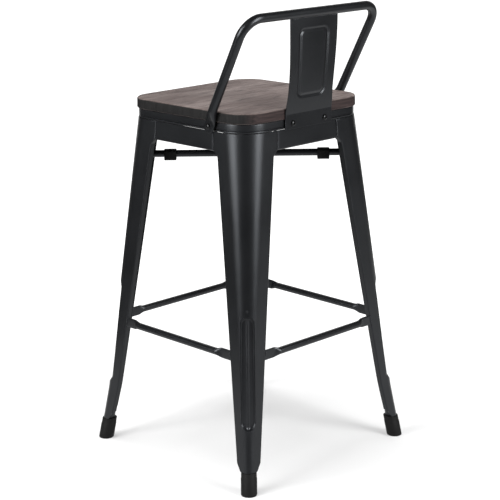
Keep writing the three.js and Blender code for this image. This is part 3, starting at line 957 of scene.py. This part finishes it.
def nut():
    """A hexagon nut with its corners chamfered on both faces."""
    high = PAN.half - SHEET - GAP
    low = high - NUT.tall
    per_side = 6
    flat = NUT.radius * math.cos(QUARTER / 3)
    bore = BOLT.radius + GAP
    edge = 0.0006
    outside = [hexagon(NUT.radius, low + edge, per_side), hexagon(NUT.radius, high - edge, per_side)]
    faces_low, faces_high = circle(flat, low, 6 * per_side), circle(flat, high, 6 * per_side)
    bores = [circle(bore + edge / 2, high, 6 * per_side), circle(bore + edge / 2, low, 6 * per_side)]
    return loft([faces_low, *outside, faces_high, *bores], closed=True)


def fastening(name, seat, turn, aside):
    """A bolt, washer and nut made along +Z, laid along +X at the bolts' height and turned to their side."""
    lay = turn_about(turn) @ Matrix.Translation((0, aside, BOLT.height)) @ Matrix.Rotation(QUARTER, 4, "Y")
    tip = PAN.half - SHEET - GAP - NUT.tall - BOLT.spare
    bolt = button_screw(BOLT.radius, BOLT.head_radius, BOLT.head_tall, seat, tip)
    parts = (("_bolt", bolt, FASTENER), ("_washer", washer(), RUBBER), ("_nut", nut(), FASTENER))
    for part, shape, finish in parts:
        add(name + part + "_surface", shape, finish, [name + part], lay)


def build_fasteners():
    hoop_seat = OUTSIDE_PAN + 2 * HOOP.blade_thin + GAP
    splat_seat = OUTSIDE_PAN + SPLAT.sheet + GAP
    fastening("hoop_left", hoop_seat, 0, HOOP.foot_y)
    fastening("hoop_right", hoop_seat, 2 * QUARTER, -HOOP.foot_y)
    fastening("splat_left", splat_seat, QUARTER, -SPLAT.bolt_x)
    fastening("splat_right", splat_seat, QUARTER, SPLAT.bolt_x)
    seat = PAN.high - SHEET - GAP
    screw = button_screw(SCREW.radius, SCREW.head_radius, SCREW.head_tall, seat, PAN.high + SCREW.reach)
    for x, x_name in ((1, "left"), (-1, "right")):
        for y, y_name in ((1, "rear"), (-1, "front")):
            name = "seat_screw_" + y_name + "_" + x_name
            place = Matrix.Translation((x * SCREW.at, y * SCREW.at, 0))
            add(name + "_surface", screw, FASTENER, [name], place)


build_legs()
build_feet()
build_sides()
build_brace()
build_seat()
build_back()
build_fasteners()

# ---- Studio ---------------------------------------------------------------------------------------------

CAMERA = SimpleNamespace(
    azimuth=135.61,
    elevation=15.12,
    roll=-0.69,
    distance=2.84201,
    aim_height=0.350,
    aim_right=0.00378,
    aim_up=0.01845,
    lens=109.65,
)
SKY = 0.09
OVERHEAD = SimpleNamespace(power=2.8, angle=44, place=(0.5, -0.8, 4))
BOX_AIM = (0, 0, 0.45)
SIDE_BOX = SimpleNamespace(aside=55, distance=2.6, height=1.45, tall=1.9)
LEFT_BOX = SimpleNamespace(wide=1.35, power=106)
RIGHT_BOX = SimpleNamespace(wide=1.2, power=104)
BACKDROP = SimpleNamespace(distance=2.4, height=1.1, size=(4.0, 2.2), power=24)
FLOOR_GLOW = SimpleNamespace(place=(-0.45, 0.45, 0.001), size=3.2, power=21)


def pale_floor():
    """Matt and pale, and lit from within more and more away from the stool, so that it fades to white."""
    material, tree, shader = new_material("pale_floor", Roughness=0.75, **{"Specular IOR Level": 0.1})
    cloud = speckle(tree, 0.6, detail=2)
    shade = blend_colours(tree, cloud, (0.42, 0.42, 0.42, 1), (0.44, 0.44, 0.44, 1))
    tree.links.new(shade, shader.inputs["Base Color"])
    shader.inputs["Emission Color"].default_value = (1, 1, 1, 1)
    place = node(tree, "ShaderNodeTexCoord").outputs["Object"]
    away = node(tree, "ShaderNodeVectorMath", {0: place}, operation="LENGTH").outputs["Value"]
    tree.links.new(between(tree, away, 0.10, 1.2, 0.25, 0.90), shader.inputs["Emission Strength"])
    return material


def studio_floor():
    half = 40
    mesh = bpy.data.meshes.new("floor")
    corners = [(-half, -half, 0), (half, -half, 0), (half, half, 0), (-half, half, 0)]
    mesh.from_pydata(corners, [], [(0, 1, 2, 3)])
    mesh.materials.append(pale_floor())
    floor = bpy.data.objects.new("floor", mesh)
    bpy.context.scene.collection.objects.link(floor)
    floor.visible_glossy = False


def aim(thing, place, target):
    """Moves a light to its place and points it at its target."""
    thing.location = place
    thing.rotation_mode = "QUATERNION"
    thing.rotation_quaternion = (Vector(place) - Vector(target)).to_track_quat("Z", "Y")


def area_light(name, shape, size, power, place, target):
    """An area light that the camera itself doesn't see."""
    light = bpy.data.lights.new(name, "AREA")
    light.shape = shape
    light.size, light.size_y = size
    light.energy = power
    box = bpy.data.objects.new(name, light)
    box.visible_camera = False
    bpy.context.scene.collection.objects.link(box)
    aim(box, place, target)
    return box


def softbox(name, azimuth, distance, height, size, power):
    """An upright softbox at an azimuth seen from the stool, counted as the camera's is."""
    angle = math.radians(azimuth)
    place = (distance * math.sin(angle), -distance * math.cos(angle), height)
    return area_light(name, "RECTANGLE", size, power, place, BOX_AIM)


def sky():
    world = bpy.data.worlds.new("studio")
    bpy.context.scene.world = world
    world.use_nodes = True
    background = world.node_tree.nodes["Background"]
    background.inputs["Color"].default_value = (1, 1, 1, 1)
    background.inputs["Strength"].default_value = SKY


def overhead():
    """A wide soft light from above that gives the floor's shadows, but no glints."""
    light = bpy.data.lights.new("overhead", "SUN")
    light.energy = OVERHEAD.power
    light.angle = math.radians(OVERHEAD.angle)
    above = bpy.data.objects.new("overhead", light)
    above.visible_glossy = False
    bpy.context.scene.collection.objects.link(above)
    aim(above, OVERHEAD.place, (0, 0, 0))


def side_lights():
    """The two softboxes whose reflections run down the near leg."""
    for name, side, box in (("softbox_left", -1, LEFT_BOX), ("softbox_right", 1, RIGHT_BOX)):
        azimuth = CAMERA.azimuth + side * SIDE_BOX.aside
        softbox(name, azimuth, SIDE_BOX.distance, SIDE_BOX.height, (box.wide, SIDE_BOX.tall), box.power)


def backdrop():
    """A wide panel behind the stool that only shows as light edges along its outlines."""
    azimuth = CAMERA.azimuth + 180
    panel = softbox("backdrop", azimuth, BACKDROP.distance, BACKDROP.height, BACKDROP.size, BACKDROP.power)
    panel.visible_diffuse = False


def floor_glow():
    """The pale floor's reflection in the steel, because the floor itself isn't seen in reflections."""
    x, y, _ = FLOOR_GLOW.place
    size = (FLOOR_GLOW.size, FLOOR_GLOW.size)
    disk = area_light("floor_glow", "DISK", size, FLOOR_GLOW.power, FLOOR_GLOW.place, (x, y, 1))
    disk.visible_diffuse = False


def camera():
    """The camera on its sphere about the aim point, rolled a little about its own axis."""
    azimuth, elevation, roll = (math.radians(a) for a in (CAMERA.azimuth, CAMERA.elevation, CAMERA.roll))
    back = Vector((
        math.sin(azimuth) * math.cos(elevation),
        -math.cos(azimuth) * math.cos(elevation),
        math.sin(elevation),
    ))
    level = Vector((math.cos(azimuth), math.sin(azimuth), 0))
    up = back.cross(level)
    target = Vector((0, 0, CAMERA.aim_height)) + level * CAMERA.aim_right + up * CAMERA.aim_up
    lens = bpy.data.cameras.new("camera")
    lens.lens = CAMERA.lens
    lens.sensor_width = 36
    lens.clip_end = 200
    eye = bpy.data.objects.new("camera", lens)
    bpy.context.scene.collection.objects.link(eye)
    across = level * math.cos(roll) + up * math.sin(roll)
    above = up * math.cos(roll) - level * math.sin(roll)
    turned_to = Matrix((across, above, back)).transposed().to_4x4()
    eye.matrix_world = Matrix.Translation(target + back * CAMERA.distance) @ turned_to
    bpy.context.scene.camera = eye


studio_floor()
sky()
overhead()
side_lights()
backdrop()
floor_glow()
camera()
bpy.context.scene.view_settings.view_transform = "Standard"
